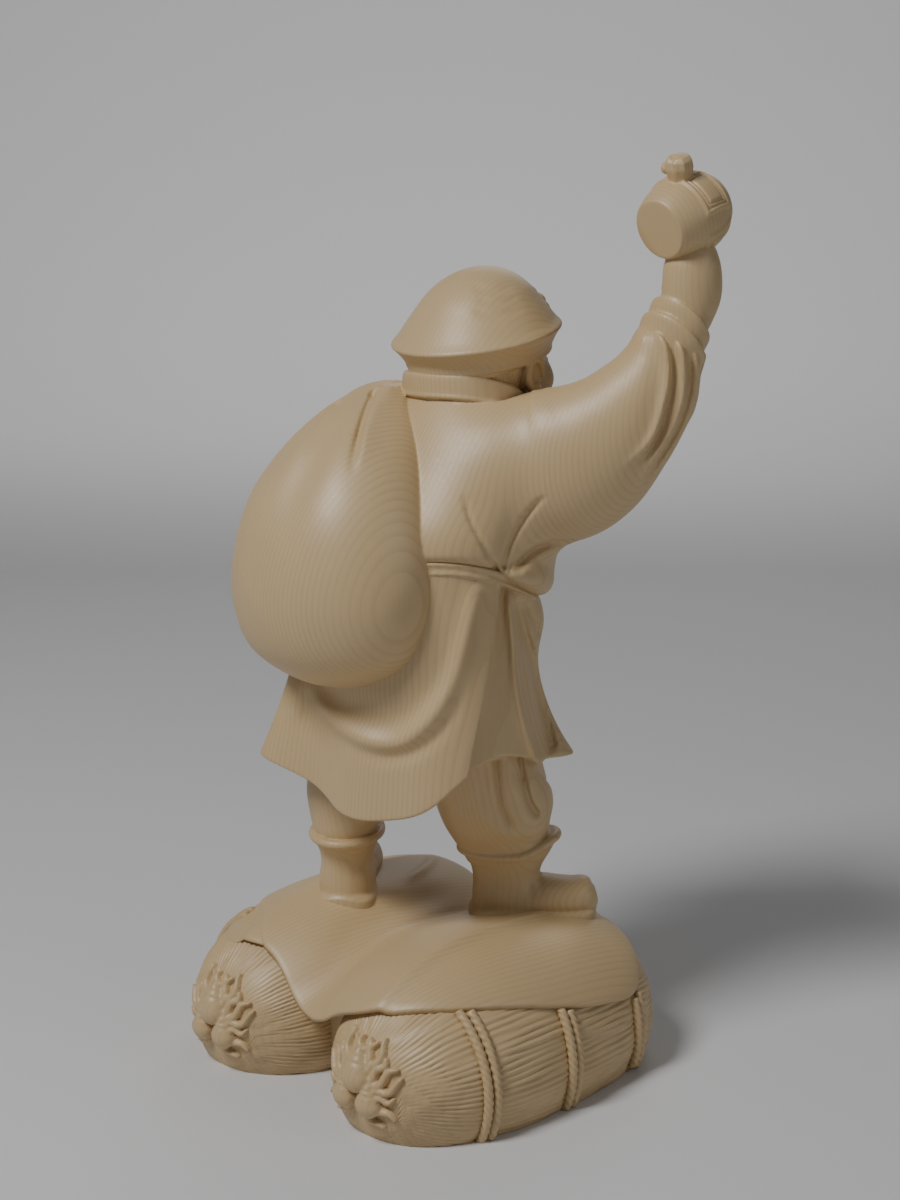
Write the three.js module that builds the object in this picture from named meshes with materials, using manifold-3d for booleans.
// A carved wooden figure with a sack over the shoulder and a raised mallet, standing on two bales.
// Millimetres, +Z up, the figure faces -Y, its right hand is on the -X side.
import * as THREE from "three";
import Module from "manifold-3d";
import { LoftGeometry } from "three/addons/geometries/LoftGeometry.js";
import { mergeVertices } from "three/addons/utils/BufferGeometryUtils.js";

// The two bales, lying along Y side by side, cut flat below.
const BALE_APART = 58;
const BALE_RADIUS = 29.5;
const BALE_HALF_LENGTH = 49.5;
const BALE_ROUNDNESS = 2.45;
const BALE_FRONT_ROUNDNESS = 3.2;
const BALE_AXIS_HEIGHT = 12;
const ROPE_THICKNESS = 2.5;
const ROPE_PLACES = [27.5, -1, -30];

// The cloth over the bales.
const CLOTH_RISE = 1.3;
const CLOTH_THICKNESS = 1.9;
const CLOTH_FLOOR = 33.5;
const CLOTH_FLOOR_DROP = 10;
const CLOTH_VALLEY = 22;

// The figure: heights of its main levels, and the middle lines of its trunk, neck and head.
const SOLE_HEIGHT = 41.5;
const LEFT_FOOT_TURN = 36;
const RIGHT_FOOT_TURN = -46;
const BELT_BACK_HEIGHT = 143.8;
const BELT_FRONT_HEIGHT = 130;
const BELT_WIDTH = 3.2;
const COLLAR_HEIGHT = 184;
const BRIM_HEIGHT = 200.5;
const HEAD_X = -6;
const HEAD_Y = -17;
const HAT_TILT = 10.7;
const HAT_RADIUS = 23;
const HAT_RISE = 16.6;

// The raised arm swings out in an upright plane, turned from the front to the figure's right.
const ARM_TURN = 45.6;

// The mallet: its barrel lies front to back and rises to the front, the handle runs square to it.
// The whole mallet also leans and turns a little in the hand.
const MALLET_CENTRE = [-61.4, -34.4, 232.2];
const MALLET_TILT = 20;
const MALLET_TURN = -6;
const MALLET_ROLL = -9;
const BARREL_HALF_LENGTH = 9.6;
const BARREL_RADIUS = 10.2;
const BARREL_END_RADIUS = 7.6;
const HANDLE_RADIUS = 2.6;
const HANDLE_LENGTH = 30;
const FIST_DROP = 17.5;
const FIT_GAP = 0.3;

// Detail finer than this is dropped from the facets.
const FACET_TOLERANCE = 0.3;

const wasm = await Module();
wasm.setup();

const rad = THREE.MathUtils.degToRad;
const point = (x, y, z) => new THREE.Vector3(x, y, z);

// Turns a closed three.js geometry into a solid that can be cut and joined.
function solid(geometry) {
  const bare = new THREE.BufferGeometry();
  bare.setAttribute("position", geometry.attributes.position);
  bare.setIndex(geometry.index);
  const merged = mergeVertices(bare, 1e-4);
  return new wasm.Manifold(
    new wasm.Mesh({
      numProp: 3,
      vertProperties: merged.attributes.position.array,
      triVerts: new Uint32Array(merged.index.array),
    }),
  );
}

function union(solids) {
  return solids.reduce((whole, next) => whole.add(next));
}

// The outer surface alone: hollows that the joining closed in are filled.
function filled(shape) {
  return shape.decompose().reduce((a, b) => (a.volume() > b.volume() ? a : b));
}

// One ring of a body: a superellipse in the plane of the directions u and v.
function ring(centre, u, v, wide, deep, around, power, relief) {
  const points = [];
  for (let i = 0; i < around; i++) {
    const angle = (i / around) * 2 * Math.PI;
    const c = Math.cos(angle);
    const s = Math.sin(angle);
    const across = Math.sign(c) * Math.abs(c) ** (2 / power);
    const along = Math.sign(s) * Math.abs(s) ** (2 / power);
    const grow = 1 + relief(angle, centre) / Math.max(wide, deep);
    points.push(
      centre
        .clone()
        .addScaledVector(u, across * wide * grow)
        .addScaledVector(v, along * deep * grow),
    );
  }
  return points;
}

// A closed body through rows of [x, y, z, half width, half depth], smoothed between the rows.
// Rings are level, with their width along X, unless a side direction asks for rings square to the path.
function body(rows, { side, turn = 0, power = 2, around = 16, steps = 2, relief = () => 0, warp } = {}) {
  const smooth = (a, b, c) =>
    new THREE.CatmullRomCurve3(
      rows.map((row) => point(row[a], row[b], row[c] ?? 0)),
      false,
      "catmullrom",
    );
  const path = smooth(0, 1, 2);
  const sizes = smooth(3, 4, 5);
  const count = (rows.length - 1) * steps;
  const rings = [];
  for (let i = 0; i <= count; i++) {
    const at = path.getPoint(i / count);
    const size = sizes.getPoint(i / count);
    const tangent = path.getTangent(i / count);
    const u = side ? side.clone() : point(Math.cos(rad(turn)), Math.sin(rad(turn)), 0);
    const axis = side ? tangent : point(0, 0, Math.sign(tangent.z));
    u.addScaledVector(axis, -u.dot(axis)).normalize();
    const v = axis.clone().cross(u);
    rings.push(ring(at, u, v, size.x, size.y, around, power, relief));
  }
  if (warp) rings.flat().forEach(warp);
  return solid(new LoftGeometry(rings, { capStart: true, capEnd: true }));
}

// A small ball, stretched to three half sizes.
function lump(x, y, z, a, b, c, turn = point(0, 0, 0)) {
  const geometry = new THREE.SphereGeometry(1, 7, 4);
  geometry.scale(a, b, c);
  geometry.rotateX(turn.x);
  geometry.rotateY(turn.y);
  geometry.rotateZ(turn.z);
  return solid(geometry.translate(x, y, z));
}

// A bulge of relief that runs around one angle and one height of a body.
function bulge(angle, height, spread, rise, amount) {
  return (a, p) => {
    const turn = Math.atan2(Math.sin(a - angle), Math.cos(a - angle)) / spread;
    const lift = (p.z - height) / rise;
    return amount * Math.exp(-turn * turn - lift * lift);
  };
}

// Bales.

function baleRadius(y, grow = 0) {
  const part = Math.min(1, Math.abs(y) / (BALE_HALF_LENGTH + grow));
  const power = y > 0 ? BALE_ROUNDNESS : BALE_FRONT_ROUNDNESS;
  return (BALE_RADIUS + grow) * (1 - part ** power) ** (1 / power);
}

function bale(x) {
  const profile = [];
  const steps = 10;
  for (let i = 0; i <= steps; i++) {
    const y = -BALE_HALF_LENGTH * Math.cos((i / steps) * Math.PI);
    profile.push(new THREE.Vector2(i % steps ? baleRadius(y) : 0, y));
  }
  const barrel = new THREE.LatheGeometry(profile, 24);
  return solid(barrel.translate(x, 0, BALE_AXIS_HEIGHT));
}

// Two strands side by side round a bale.
function rope(x, y) {
  const rise = baleRadius(y) - BALE_RADIUS;
  const profile = [
    [-2, -1],
    [1, -0.5],
    [0.2, 0],
    [1, 0.5],
    [-2, 1],
    [-2, -1],
  ].map(([r, h]) => new THREE.Vector2(BALE_RADIUS + rise + r, y + h * ROPE_THICKNESS));
  return solid(new THREE.LatheGeometry(profile, 24).translate(x, 0, BALE_AXIS_HEIGHT));
}

// Three pointed jewels among flames, in relief on both ends of a bale.
function jewels(x, end) {
  const face = end * (BALE_HALF_LENGTH - 1.6);
  const spots = [
    [0, 20],
    [-4.2, 12.5],
    [4.2, 12.5],
  ];
  const stones = spots.map(([dx, z]) => {
    const profile = [
      [0, -3.2],
      [2.6, -2],
      [3.2, 0.4],
      [0, 4.4],
    ].map(([r, h]) => new THREE.Vector2(r, h));
    const stone = new THREE.LatheGeometry(profile, 6).rotateX(Math.PI / 2).scale(1, 0.7, 1);
    return solid(stone.translate(x + dx, face, z));
  });
  const flames = [];
  const tongues = 7;
  for (let i = 0; i < tongues; i++) {
    const angle = rad(-40 + (260 * i) / (tongues - 1));
    const tongue = new THREE.ConeGeometry(2, 7, 4).rotateZ(angle - Math.PI / 2).scale(1, 0.7, 1);
    const reach = 9;
    flames.push(
      solid(tongue.translate(x + reach * Math.cos(angle), face - end * 1.4, 16.5 + reach * Math.sin(angle))),
    );
  }
  return union([...stones, ...flames]);
}

// The higher of two heights, with a soft hollow of the given width where they meet.
function softMax(a, b, width) {
  const blend = Math.max(0, 1 - Math.abs(a - b) / width);
  return Math.max(a, b) + (width * blend * blend) / 4;
}

// Height of the cloth over a point of the base: over both bales, with a soft valley between them.
function clothHeight(x, y) {
  const radius = baleRadius(y, CLOTH_RISE);
  const over = (middle) => {
    const reach = Math.abs(x - middle) / Math.max(radius, 1);
    const round = reach < 0.9 ? Math.sqrt(1 - reach * reach) : 0.436 - 2.06 * (reach - 0.9);
    return BALE_AXIS_HEIGHT + radius * round;
  };
  const bales = softMax(over(BALE_APART / 2), over(-BALE_APART / 2), 10);
  const inside = Math.abs(x) < BALE_APART / 2 ? 0 : Math.abs(x) - BALE_APART / 2;
  const floor = CLOTH_FLOOR - CLOTH_FLOOR_DROP * Math.abs(y / 41) ** 2.2 - 3 * inside;
  return softMax(bales, floor, CLOTH_VALLEY);
}

// The outline of the cloth in plan, with a corner hanging in the valley behind.
function clothOutline() {
  const turns = [
    [-3, 42],
    [-25, 43.5],
    [-42, 32],
    [-51.5, 12],
    [-56, -14],
    [-53, -33],
    [-34, -43.5],
    [2, -42],
    [33, -43],
    [52, -33],
    [56, -10],
    [52.5, 15],
    [41, 35],
    [17, 38.5],
  ];
  return new THREE.Shape(new THREE.SplineCurve(turns.map(([x, y]) => new THREE.Vector2(x, y))).getPoints(28));
}

// The cloth is a sheet over both bales, filled below except for its hanging hems, cut to its outline.
function cloth() {
  const rings = [];
  const rows = 12;
  const columns = 16;
  for (let j = 0; j <= rows; j++) {
    const y = 46 * ((2 * j) / rows - 1);
    const half = BALE_APART / 2 + baleRadius(y, CLOTH_RISE) * 0.99;
    const hem = THREE.MathUtils.smoothstep(Math.abs(y), 33, 41);
    const top = [];
    const under = [];
    for (let i = 0; i <= columns; i++) {
      const x = half * Math.sin((i / columns - 0.5) * Math.PI * 0.96);
      const height = clothHeight(x, y);
      const filled = BALE_AXIS_HEIGHT - 3;
      top.push(point(x, y, height));
      under.push(point(x, y, filled + hem * (height - CLOTH_THICKNESS - filled)));
    }
    rings.push([...top, ...under.reverse()]);
  }
  const sheet = solid(new LoftGeometry(rings, { capStart: true, capEnd: true }));
  const prism = new THREE.ExtrudeGeometry(clothOutline(), { depth: 60, bevelEnabled: false });
  return sheet.intersect(solid(prism));
}

function base() {
  const middles = [-BALE_APART / 2, BALE_APART / 2];
  const straw = middles.flatMap((x) => [
    bale(x),
    ...ROPE_PLACES.map((y) => rope(x, y)),
    jewels(x, 1),
    jewels(x, -1),
  ]);
  const ground = solid(new THREE.BoxGeometry(300, 300, 100).translate(0, 0, -50));
  return union([...straw, cloth()]).subtract(ground);
}

// Boots and legs. A foot points out by its turn from the front.

function boot(x, y, turn, cuffRise) {
  const ahead = point(Math.sin(rad(turn)), -Math.cos(rad(turn)), 0);
  const at = (forward, z) => [x + ahead.x * forward, y + ahead.y * forward, z];
  const foot = (lift, grow) => [
    [...at(-8 - grow, lift), 0.6, 0.6],
    [...at(-7.4 - grow, lift), 4, 4],
    [...at(-4, lift), 7.3 + grow, 7.3],
    [...at(4, lift), 7.2 + grow, 7.2],
    [...at(14, lift), 7.6 + grow, 7.6],
    [...at(21, lift), 6.2 + grow, 6.2],
    [...at(24.4 + grow, lift), 3.6, 3.6],
    [...at(25.2 + grow, lift), 0.6, 0.6],
  ];
  const outline = (grow, low, high) => {
    const half = foot(0, grow).map((row) => row);
    const shape = new THREE.Shape(
      [...half.map((r, i) => [r, 1, i]), ...half.map((r, i) => [r, -1, i]).reverse()].map(
        ([r, hand]) => new THREE.Vector2(r[0] - ahead.y * r[3] * hand, r[1] + ahead.x * r[3] * hand),
      ),
    );
    const geometry = new THREE.ExtrudeGeometry(shape, { depth: high - low, bevelEnabled: false });
    return solid(geometry.translate(0, 0, low));
  };
  const sole = outline(0.7, SOLE_HEIGHT - 5, SOLE_HEIGHT + 1.5);
  const side = point(-ahead.y, ahead.x, 0);
  const upper = body(
    [
      [...at(-7.2, SOLE_HEIGHT + 5), 3, 4],
      [...at(-4, SOLE_HEIGHT + 4.5), 7, 6.5],
      [...at(4, SOLE_HEIGHT + 4), 7.2, 7.5],
      [...at(12, SOLE_HEIGHT + 3), 7.3, 6.2],
      [...at(20, SOLE_HEIGHT + 3.2), 6.3, 4.8],
      [...at(24.5, SOLE_HEIGHT + 5), 3.5, 2.8],
      [...at(25.2, SOLE_HEIGHT + 6.2), 1, 1],
    ],
    { side, around: 10, steps: 1 },
  );
  const shaft = body(
    [
      [...at(0.5, SOLE_HEIGHT), 7.7, 9.2],
      [...at(0.5, SOLE_HEIGHT + 9), 7.4, 9.3],
      [...at(0.5, SOLE_HEIGHT + 15), 8.4, 11],
      [...at(0.5, SOLE_HEIGHT + 18.6), 10.2, 13.6],
      [...at(0.5, SOLE_HEIGHT + 20), 8.2, 11.4],
    ],
    { turn, around: 16, steps: 1 },
  );
  const peak = body(
    [
      [...at(8, SOLE_HEIGHT + 13), 5.6, 3.2],
      [...at(10.6, SOLE_HEIGHT + 18.4), 5.8, 2.8],
      [...at(12.8, SOLE_HEIGHT + 18.6 + cuffRise), 1, 0.8],
    ],
    { turn, around: 8, steps: 1 },
  );
  const block = solid(new THREE.BoxGeometry(200, 200, 40).translate(0, 0, SOLE_HEIGHT - 20));
  return union([sole, upper.subtract(block), shaft, peak]);
}

function leg(turn, rows) {
  return body(rows, { turn, power: 2.1, steps: 1 });
}

function legs() {
  return union([
    boot(20.6, 7.5, LEFT_FOOT_TURN, 1),
    boot(-16.2, -18.5, RIGHT_FOOT_TURN, 4),
    leg(LEFT_FOOT_TURN, [
      [21, 7.5, 58, 7.6, 9.2],
      [21, 7, 66, 10.2, 11.6],
      [20, 6, 76, 12.4, 13.2],
      [16, 2, 92, 14, 15],
      [12, 0, 105, 14, 16],
    ]),
    leg(RIGHT_FOOT_TURN, [
      [-16.2, -17.8, 57, 8.2, 11.2],
      [-15.4, -17, 62, 10.8, 13.2],
      [-14.4, -15.2, 75, 16.2, 16.6],
      [-12.5, -10, 92, 15.5, 16],
      [-11, -6, 105, 14, 16],
    ]),
    body(
      [
        [2, -4, 84, 6, 12],
        [2, -4, 92, 16, 18],
        [0, -4, 108, 24, 22],
      ],
      { around: 12 },
    ),
  ]);
}

// The belt runs level across the back and drops under the belly in front.
function beltHeight(y) {
  return THREE.MathUtils.lerp(BELT_FRONT_HEIGHT, BELT_BACK_HEIGHT, THREE.MathUtils.smoothstep(y, -30, 16));
}

// Lets a point near the waist follow the belt, less and less further up or down.
function sag(p) {
  const share = Math.max(0, 1 - Math.abs(p.z - BELT_BACK_HEIGHT) / 34);
  p.z += share * (beltHeight(p.y) - BELT_BACK_HEIGHT);
}

// The robe's skirt: a front wrap under a longer back wrap, each a shell of cloth round the hips.

function wrap(edges, shape, thickness, columns) {
  const rows = 4;
  const rings = [];
  for (let j = 0; j <= columns; j++) {
    const outside = [];
    const inside = [];
    for (let i = 0; i <= rows; i++) {
      const [from, to] = edges(i / rows);
      const angle = rad(from + ((to - from) * j) / columns);
      outside.push(shape(angle, i / rows, 0));
      inside.push(shape(angle, i / rows, thickness));
    }
    rings.push([...outside, ...inside.reverse()]);
  }
  return solid(new LoftGeometry(rings, { capStart: true, capEnd: true }));
}

// A fold of the skirt: a swell at an angle round the hips, in degrees.
function swell(angle, centre, width) {
  const turn = Math.atan2(Math.sin(angle - rad(centre)), Math.cos(angle - rad(centre))) / rad(width);
  return Math.exp(-turn * turn);
}

// A panel of the skirt. Angle 0 is the figure's left (+X), 90 its back, 180 its right, 270 its front.
function panel({ hem, waist, flare, fold }) {
  return (angle, share, inset) => {
    const open = share ** 1.25;
    const pleat = fold(angle, share) - inset;
    const rx = THREE.MathUtils.lerp(waist[0], flare[0], open) + pleat;
    const ry = THREE.MathUtils.lerp(waist[1], flare[1], open) + pleat;
    const c = Math.cos(angle);
    const s = Math.sin(angle);
    const power = 2.3;
    const reach = (Math.abs(c / rx) ** power + Math.abs(s / ry) ** power) ** (-1 / power);
    const y = s * reach - 3;
    const top = beltHeight(y);
    return point(c * reach - 1, y, top - share * (top - hem(angle)));
  };
}

function skirt() {
  const back = panel({
    hem: (angle) =>
      78 +
      8 * (angle < rad(40) ? 1 : swell(angle, 40, 24)) +
      4 * swell(angle, 22, 9) -
      3 * swell(angle, 95, 30) +
      12 * swell(angle, 160, 20),
    waist: [29.5, 26.5],
    flare: [33.5, 31.5],
    fold: (angle, share) =>
      share *
      ((8.2 + 3.6 * share ** 2) * swell(angle, 44, 13) -
        1.5 * swell(angle, 72, 12) -
        1.2 * swell(angle, 118, 12)),
  });
  const front = panel({
    hem: (angle) => 88 - 4 * swell(angle, 270, 60) + 3.5 * swell(angle, 180, 20) + 4 * swell(angle, 30, 20),
    waist: [28.2, 25.5],
    flare: [32, 29.5],
    fold: (angle, share) =>
      8.5 * share ** 3 * swell(angle, 225, 12) +
      5 * share ** 2 * swell(angle, 316, 14) -
      3.6 * share * swell(angle, 168, 22) +
      3.2 * swell(angle, 222, 26) * Math.exp(-(((share - 0.12) / 0.2) ** 2)),
  });
  const hips = body(
    [
      [-1, -3, 87, 28.5, 25.5],
      [-1, -3, 118, 28, 25.5],
      [-1, -3.5, BELT_BACK_HEIGHT, 27, 24],
    ],
    { around: 20, steps: 1, warp: sag },
  );
  return union([
    wrap((share) => [24, 178 - 28 * share], back, 4, 15),
    wrap(() => [150, 392], front, 6, 19),
    hips,
  ]);
}

// The trunk with its blouse over the belt, and the lapels that cross on the chest.
function trunk() {
  const creases = [
    bulge(rad(172), 152, 0.16, 14, -2.2),
    bulge(rad(135), 150, 0.14, 16, -1.2),
    bulge(rad(268), 152, 0.8, 14, 2.5),
  ];
  const blouse = body(
    [
      [-1, -4, BELT_BACK_HEIGHT - 3, 27, 24],
      [-2, -5, BELT_BACK_HEIGHT + 1, 32.5, 28.5],
      [-3, -6, 152, 32, 27.5],
      [-4, -7, 162, 30, 23.5],
      [-5, -9, 172, 26, 18.8],
      [-5.5, -11, 180, 19, 15.6],
      [-6, -14, 184.5, 15, 15],
      [-6, -15, 186, 14, 14],
    ],
    {
      around: 22,
      steps: 1,
      power: 2.2,
      relief: (a, p) => creases.reduce((sum, c) => sum + c(a, p), 0),
      warp: sag,
    },
  );
  const neckline = (hand, end) => [
    [HEAD_X + hand * 15, -23, 182, 3.4, 1.8],
    [HEAD_X + hand * 10.5, -28.5, 171, 3.4, 1.8],
    [HEAD_X + hand * 4, -32, 160, 3.4, 1.8],
    ...end,
  ];
  const lapels = [
    neckline(1, [
      [HEAD_X - 4, -34.2, 150, 3.4, 1.8],
      [HEAD_X - 11, -35.2, 138, 3.4, 1.8],
    ]),
    neckline(-1, [[HEAD_X - 1, -33.2, 155, 3.4, 1.2]]),
  ].map((rows, i) => body(rows, { side: point(i ? -1 : 1, 0, 0.6), around: 6, steps: 1 }));
  return union([blouse, ...lapels]);
}

function belt() {
  const band = [
    [-1, -3.5, BELT_BACK_HEIGHT - BELT_WIDTH / 2, 30.2, 27.2],
    [-1, -3.5, BELT_BACK_HEIGHT + BELT_WIDTH / 2, 30.5, 27.5],
  ];
  const low = BELT_FRONT_HEIGHT;
  const knot = [-1, 1].map((hand) => lump(hand * 4.5 - 1, -31.5, low + 0.5, 5, 2.4, 3));
  const ends = [-1, 1].map((hand) =>
    body(
      [
        [hand * 1.5 - 1, -31.5, low, 2.6, 1.4],
        [hand * 3 - 1, -32.6, low - 11, 2.8, 1.6],
        [hand * 4.5 - 1, -33.6, low - 22, 3, 1.6],
      ],
      { around: 6, steps: 1 },
    ),
  );
  return union([body(band, { around: 24, steps: 1, power: 2.2, warp: sag }), ...knot, ...ends]);
}

// The sack hangs from the left shoulder down the back, its neck held at the chest.
function sack() {
  const gathers = (a, p) =>
    bulge(rad(98), 168, 0.28, 16, -3.2)(a, p) + bulge(rad(60), 176, 0.2, 10, -1.4)(a, p);
  const bag = body(
    [
      [9, 19, 109, 5, 4],
      [8.5, 20, 111, 15, 12],
      [8.5, 21.5, 119, 26.5, 20.5],
      [8, 22, 132, 30.8, 24.5],
      [8, 21.5, 146, 30.2, 24],
      [8.2, 19.5, 160, 26, 21.5],
      [8.6, 14.5, 172, 19.6, 17],
      [11, 6.5, 181, 12.6, 11.4],
      [13.2, -1, 185.6, 6.6, 7],
      [13.6, -3, 187, 2, 2],
    ],
    { around: 20, relief: gathers },
  );
  const neck = body(
    [
      [13.4, 2, 177.5, 8, 7],
      [14.5, -10, 179.2, 7, 6],
      [15.4, -22, 174.5, 5, 5],
      [15, -30, 168, 3.6, 3.6],
      [15, -33, 160, 5.5, 4],
      [15, -33.5, 156, 4, 2.5],
    ],
    { side: point(1, 0, 0), around: 10, steps: 1 },
  );
  return bag.add(neck);
}

// The left arm bends up to the sack's neck at the chest.
function leftArm() {
  const sleeve = body(
    [
      [14, -8, 172, 10, 11],
      [24, -11, 165, 11, 12],
      [31, -17, 154, 11, 12],
      [26, -27, 153, 9.5, 11],
      [19, -32, 159, 6.5, 8],
    ],
    { side: point(0.5, 0.6, 0.6), around: 12 },
  );
  const hand = lump(15, -33.5, 165, 6.4, 5.6, 6, point(0.3, 0, 0));
  const fingers = [0, 1, 2, 3].map((i) => lump(11 + i * 0.5, -37, 168.6 - i * 2.7, 3.8, 2.2, 1.6));
  return union([sleeve, hand, ...fingers]);
}

// A point in the raised arm's plane: so far out, so far off to its side, at a height.
function inArm(out, off, z) {
  const turn = rad(ARM_TURN);
  return [-out * Math.sin(turn) - off * Math.cos(turn), -out * Math.cos(turn) + off * Math.sin(turn), z];
}

function rightArm() {
  const square = point(...inArm(0, 1, 0));
  const ridges = (a, p) => {
    const out = -p.x * Math.sin(rad(ARM_TURN)) - p.y * Math.cos(rad(ARM_TURN));
    return 0.9 * Math.sin((out - 40) * 0.66) * THREE.MathUtils.smoothstep(out, 42, 50);
  };
  const sleeve = body(
    [
      [...inArm(10, 2, 165.3), 11, 12],
      [...inArm(24, 6, 166), 15.3, 17.8],
      [...inArm(36, 9, 167.3), 15.7, 20.6],
      [...inArm(45, 11, 171.8), 15.4, 19.6],
      [...inArm(53.3, 14, 179.2), 13.4, 15.8],
      [...inArm(59.5, 15.8, 187.2), 11.6, 13],
      [...inArm(64, 16.9, 196.2), 9.6, 10.2],
      [...inArm(67.4, 17.9, 204), 7.6, 8],
      [...inArm(69, 18.3, 208.8), 6.4, 6.6],
    ],
    { side: square, around: 18, relief: ridges },
  );
  const wrist = body(
    [
      [...inArm(67, 18, 202), 5.2, 5.4],
      [...inArm(69.4, 18.6, 208), 6, 6.4],
      [...inArm(70.1, 18.8, 213.5), 6.4, 6.9],
    ],
    { side: square, around: 10, steps: 1 },
  );
  return sleeve.add(wrist);
}

// The mallet's own frame: its handle points down its -Z, its barrel lies along its Y.
function inMallet(geometry) {
  geometry.rotateY(rad(MALLET_ROLL)).rotateX(rad(-MALLET_TILT)).rotateZ(rad(MALLET_TURN));
  return geometry.translate(...MALLET_CENTRE);
}

function fist() {
  const palm = new THREE.SphereGeometry(1, 12, 7).scale(7.2, 7.4, 7.4).translate(0.4, 0, -FIST_DROP);
  const fingers = [0, 1, 2, 3].map((i) => {
    const finger = new THREE.CapsuleGeometry(1.9, 6, 1, 6).rotateZ(rad(78));
    return solid(inMallet(finger.translate(1.5, -5.8 + i * 0.2, -FIST_DROP + 4.8 - i * 3.1)));
  });
  const thumb = new THREE.CapsuleGeometry(1.9, 6, 1, 6).rotateX(rad(20));
  thumb.translate(4.8, 1.5, -FIST_DROP + 1.6);
  return union([solid(inMallet(palm)), ...fingers, solid(inMallet(thumb))]);
}

function malletSolid(grow) {
  const half = BARREL_HALF_LENGTH;
  const profile = [[0, -half]];
  const steps = 8;
  for (let i = 0; i <= steps; i++) {
    const along = -1 + (2 * i) / steps;
    profile.push([BARREL_END_RADIUS + (BARREL_RADIUS - BARREL_END_RADIUS) * (1 - along ** 2), along * half]);
  }
  profile.push([0, half]);
  const lathe = (points, sides) =>
    new THREE.LatheGeometry(
      points.map(([r, h]) => new THREE.Vector2(r ? r + grow : 0, h)),
      sides,
    );
  const barrel = lathe(profile, 24);
  const knob = lathe(
    [
      [0, 8],
      [3, 8],
      [2.6, 11.4],
      [4, 12.8],
      [3.6, 14.8],
      [0, 15.4],
    ],
    6,
  ).rotateX(Math.PI / 2);
  const bead = new THREE.SphereGeometry(1.5 + grow, 8, 6).translate(0, 2.8, 15.2);
  const handle = new THREE.CylinderGeometry(
    HANDLE_RADIUS + grow,
    HANDLE_RADIUS + grow + 0.3,
    HANDLE_LENGTH + grow,
    14,
  );
  handle.rotateX(Math.PI / 2).translate(0, 0, -(HANDLE_LENGTH + grow) / 2);
  const panel = new THREE.BoxGeometry(7, 7, 3).translate(0, -3, BARREL_RADIUS - 1.3);
  const panels = [50, 130, 230, 310].map((turn) => solid(inMallet(panel.clone().rotateY(rad(turn - 90)))));
  return union([barrel, knob, bead, handle].map((g) => solid(inMallet(g))).concat(grow ? [] : panels));
}

// Head, face, hair, ears and the cap.

function head() {
  const skull = body(
    [
      [HEAD_X, HEAD_Y, 176, 9, 9],
      [HEAD_X, HEAD_Y + 0.5, 182, 14, 15],
      [HEAD_X, HEAD_Y, 190, 17, 19],
      [HEAD_X, HEAD_Y, 198, 17.5, 18.8],
      [HEAD_X, HEAD_Y - 2, 206, 10, 11],
    ],
    { around: 20, steps: 1 },
  );
  const features = [
    lump(HEAD_X, HEAD_Y - 20, 189.5, 2.4, 3, 3.4),
    lump(HEAD_X, HEAD_Y - 18.5, 193, 1.6, 2.2, 4),
    lump(HEAD_X, HEAD_Y - 17, 181.5, 5.5, 4, 3.2),
    lump(HEAD_X, HEAD_Y - 18, 185, 4.6, 3, 1.2),
  ];
  for (const hand of [-1, 1]) {
    features.push(
      lump(HEAD_X + hand * 8.5, HEAD_Y - 13, 187, 6.2, 5, 4.8),
      lump(HEAD_X + hand * 7, HEAD_Y - 17, 192.6, 3.6, 1.6, 1.5),
      lump(HEAD_X + hand * 7, HEAD_Y - 17, 196, 4.8, 2.2, 1.1),
      lump(HEAD_X + hand * 17.6, HEAD_Y - 3, 190.2, 1.9, 2.8, 4.4),
      lump(HEAD_X + hand * 17.2, HEAD_Y - 3.4, 186.9, 1.6, 1.9, 2.2),
    );
  }
  const collar = body(
    [
      [HEAD_X + 1.5, HEAD_Y + 2.5, 176, 20, 18],
      [HEAD_X + 1, HEAD_Y + 2, COLLAR_HEIGHT - 1, 17.6, 17.4],
      [HEAD_X + 1, HEAD_Y + 1, COLLAR_HEIGHT + 1.6, 17.2, 17.4],
    ],
    { around: 22, steps: 1 },
  );
  return union([skull, collar, ...features]);
}

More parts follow.
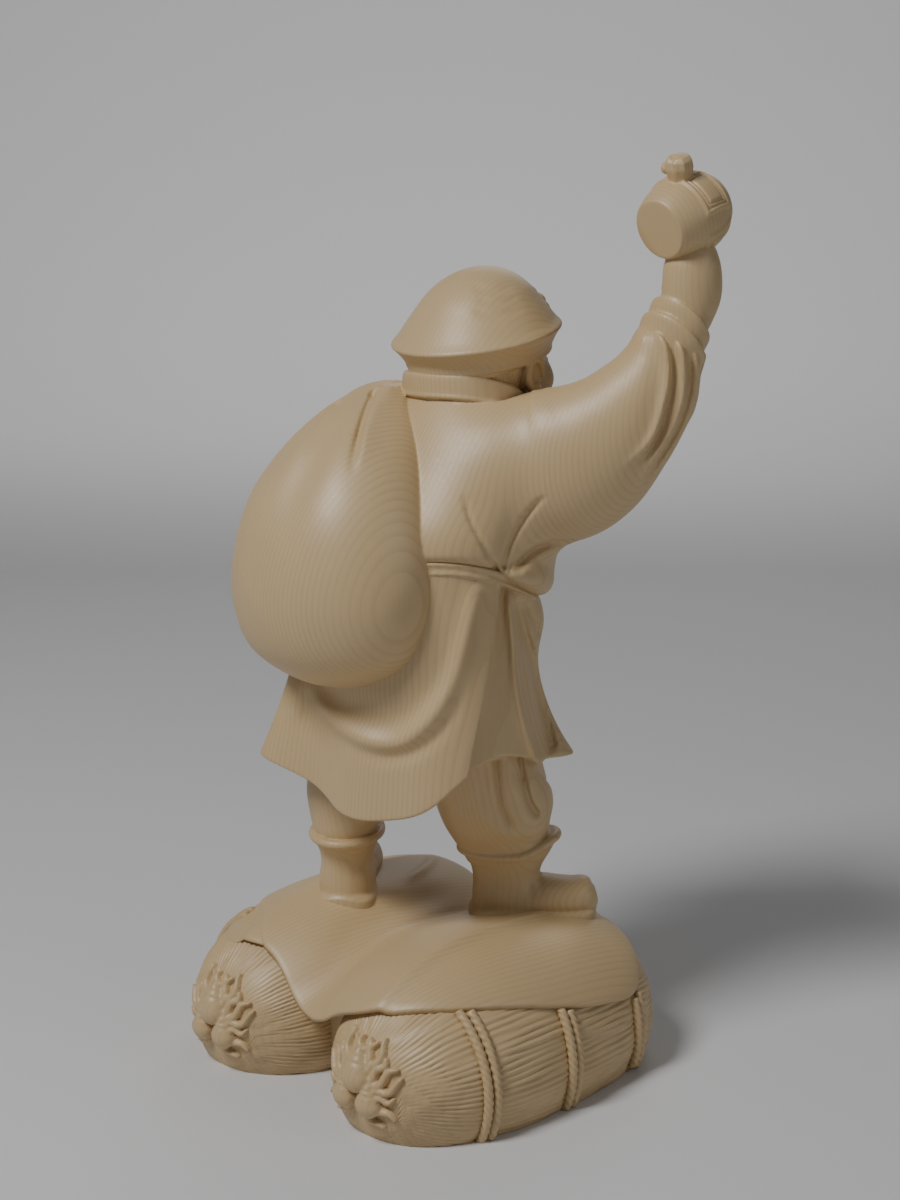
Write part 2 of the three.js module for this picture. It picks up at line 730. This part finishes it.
function hat() {
  const rings = [];
  const rows = [
    [0, -8, 14],
    [0, -7.4, 19],
    [0, -3, 21],
    [0, 0, HAT_RADIUS],
  ];
  const dome = 7;
  for (let i = 1; i <= dome; i++) {
    const share = Math.cos((i / dome) * 0.49 * Math.PI);
    rows.push([0, 0.8 + HAT_RISE * (1 - share ** 1.95), HAT_RADIUS * 0.985 * share]);
  }
  const folds = bulge(rad(270), 12, 0.5, 8, 1.6);
  for (const [y, z, radius] of rows) {
    const relief = z > 2 ? folds : () => 0;
    rings.push(ring(point(0, y, z), point(1, 0, 0), point(0, 1, 0), radius, radius, 26, 2, relief));
  }
  const cap = new LoftGeometry(rings, { capStart: true, capEnd: true });
  const badge = new THREE.SphereGeometry(1, 10, 6).scale(3, 2.2, 3).translate(0, -20.6, 6.6);
  return union(
    [cap, badge].map((g) => solid(g.rotateX(rad(-HAT_TILT)).translate(HEAD_X, HEAD_Y, BRIM_HEIGHT))),
  );
}

// Brings a solid back to a named three.js mesh in its own wood colour.
function carved(name, shape, colour) {
  const { vertProperties, triVerts } = shape.getMesh();
  const geometry = new THREE.BufferGeometry();
  geometry.setAttribute("position", new THREE.BufferAttribute(vertProperties, 3));
  geometry.setIndex(new THREE.BufferAttribute(triVerts, 1));
  geometry.computeVertexNormals();
  const material = new THREE.MeshStandardMaterial({ color: colour, roughness: 0.55, metalness: 0 });
  const mesh = new THREE.Mesh(geometry, material);
  mesh.name = name;
  return mesh;
}

const figure = union([
  base(),
  legs(),
  skirt(),
  trunk(),
  belt(),
  sack(),
  leftArm(),
  rightArm(),
  fist(),
  head(),
  hat(),
]);
const cleared = filled(figure.subtract(malletSolid(FIT_GAP)).simplify(FACET_TOLERANCE));

const statue = new THREE.Group();
statue.add(carved("figure_on_bales", cleared, 0xd9bd8d));
statue.add(carved("mallet", malletSolid(0).simplify(FACET_TOLERANCE), 0xdcc193));

// The origin is the middle of the outline seen from above, on the ground.
const middle = new THREE.Box3().setFromObject(statue).getCenter(new THREE.Vector3());
statue.position.set(-middle.x, -middle.y, 0);

export default statue;
